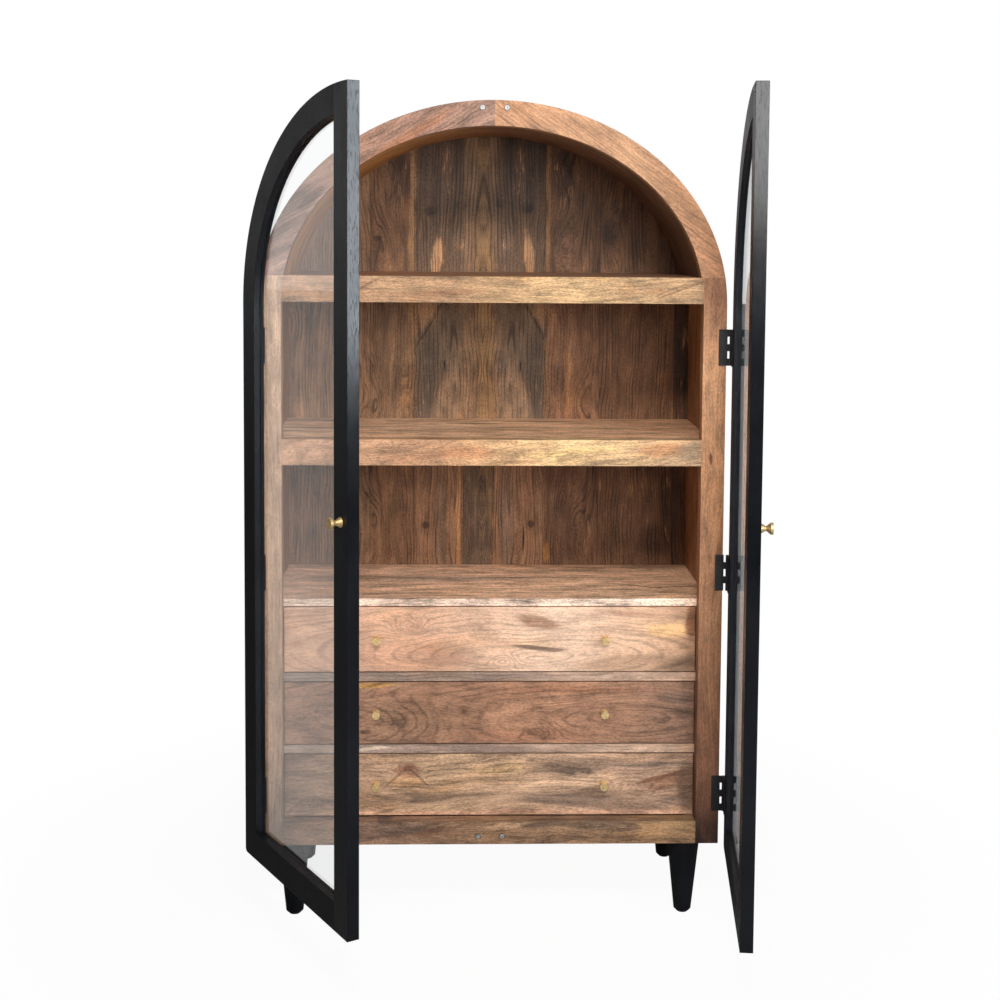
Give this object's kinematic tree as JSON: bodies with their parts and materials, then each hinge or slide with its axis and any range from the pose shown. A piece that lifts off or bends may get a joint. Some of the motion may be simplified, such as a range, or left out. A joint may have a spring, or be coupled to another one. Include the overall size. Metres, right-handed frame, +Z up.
{
  "type": "arched display cabinet",
  "caption": "Arched wooden display cabinet on tapered legs, with swinging glass doors, open shelves and a bank of sliding drawers.",
  "frame": {"origin": "on the floor, midway between the carcass's two sides and midway between its front and back", "axes": "+X to the cabinet's right as seen from the front, +Y to its back, +Z up; the doors open toward -Y"},
  "size_m": [1.0638, 0.9001, 1.783],
  "materials": {
    "tan_wood": "satin",
    "red_wood": "satin",
    "mixed_wood": "satin",
    "back_wood": "satin",
    "black_wood": "satin",
    "glass": "gloss",
    "brass": "aged",
    "hinge_steel": "satin",
    "magnet": "satin"
  },
  "bodies": {
    "cabinet": {"post_left": "red_wood", "post_right": "red_wood", "side_panel_left": "black_wood", "side_panel_right": "black_wood", "arch_rib_left": "red_wood", "arch_rib_right": "tan_wood", "arch_shell": "black_wood", "back_panel": "back_wood", "shelf_top_front": "tan_wood", "shelf_top_panel": "tan_wood", "shelf_middle_front": "tan_wood", "shelf_middle_panel": "tan_wood", "drawer_deck": "tan_wood", "drawer_rail_upper": "mixed_wood", "drawer_rail_lower": "mixed_wood", "bottom_rail": "mixed_wood", "bottom_panel": "mixed_wood", "drawer_1_runner_left": "mixed_wood", "drawer_1_runner_right": "mixed_wood", "drawer_2_runner_left": "mixed_wood", "drawer_2_runner_right": "mixed_wood", "drawer_3_runner_left": "mixed_wood", "drawer_3_runner_right": "mixed_wood", "legs_front": "black_wood", "legs_rear": "black_wood", "hinges_left_frame": "hinge_steel", "hinges_right_frame": "hinge_steel", "catch_magnets": "magnet"},
    "left_door": {"left_door_hinge_stile": "black_wood", "left_door_arch_rail": "black_wood", "left_door_meeting_stile": "black_wood", "left_door_bottom_rail": "black_wood", "left_door_glass": "glass", "left_door_glazing_bead": "black_wood", "left_door_knob": "brass", "left_door_strikes": "magnet", "left_door_hinge_leaves": "hinge_steel"},
    "right_door": {"right_door_hinge_stile": "black_wood", "right_door_arch_rail": "black_wood", "right_door_meeting_stile": "black_wood", "right_door_bottom_rail": "black_wood", "right_door_glass": "glass", "right_door_glazing_bead": "black_wood", "right_door_knob": "brass", "right_door_strikes": "magnet", "right_door_hinge_leaves": "hinge_steel"},
    "drawer_1": {"drawer_1_front": "tan_wood", "drawer_1_box": "tan_wood", "drawer_1_bottom": "tan_wood", "drawer_1_knobs": "brass"},
    "drawer_2": {"drawer_2_front": "red_wood", "drawer_2_box": "tan_wood", "drawer_2_bottom": "tan_wood", "drawer_2_knobs": "brass"},
    "drawer_3": {"drawer_3_front": "mixed_wood", "drawer_3_box": "tan_wood", "drawer_3_bottom": "tan_wood", "drawer_3_knobs": "brass"}
  },
  "joints": [
    {"name": "left_door_swing", "type": "hinge", "parent": "cabinet", "child": "left_door", "pos_m": [-0.5095, -0.19725, 0], "axis": [0, 0, -1], "range_deg": [-60, 115]},
    {"name": "right_door_swing", "type": "hinge", "parent": "cabinet", "child": "right_door", "pos_m": [0.5095, -0.19725, 0], "axis": [0, 0, 1], "range_deg": [-83.5, 91.5]},
    {"name": "drawer_1_slide", "type": "slide", "parent": "cabinet", "child": "drawer_1", "axis": [0, -1, 0], "range_m": [0, 0.14]},
    {"name": "drawer_2_slide", "type": "slide", "parent": "cabinet", "child": "drawer_2", "axis": [0, -1, 0], "range_m": [0, 0.14]},
    {"name": "drawer_3_slide", "type": "slide", "parent": "cabinet", "child": "drawer_3", "axis": [0, -1, 0], "range_m": [0, 0.14]}
  ]
}
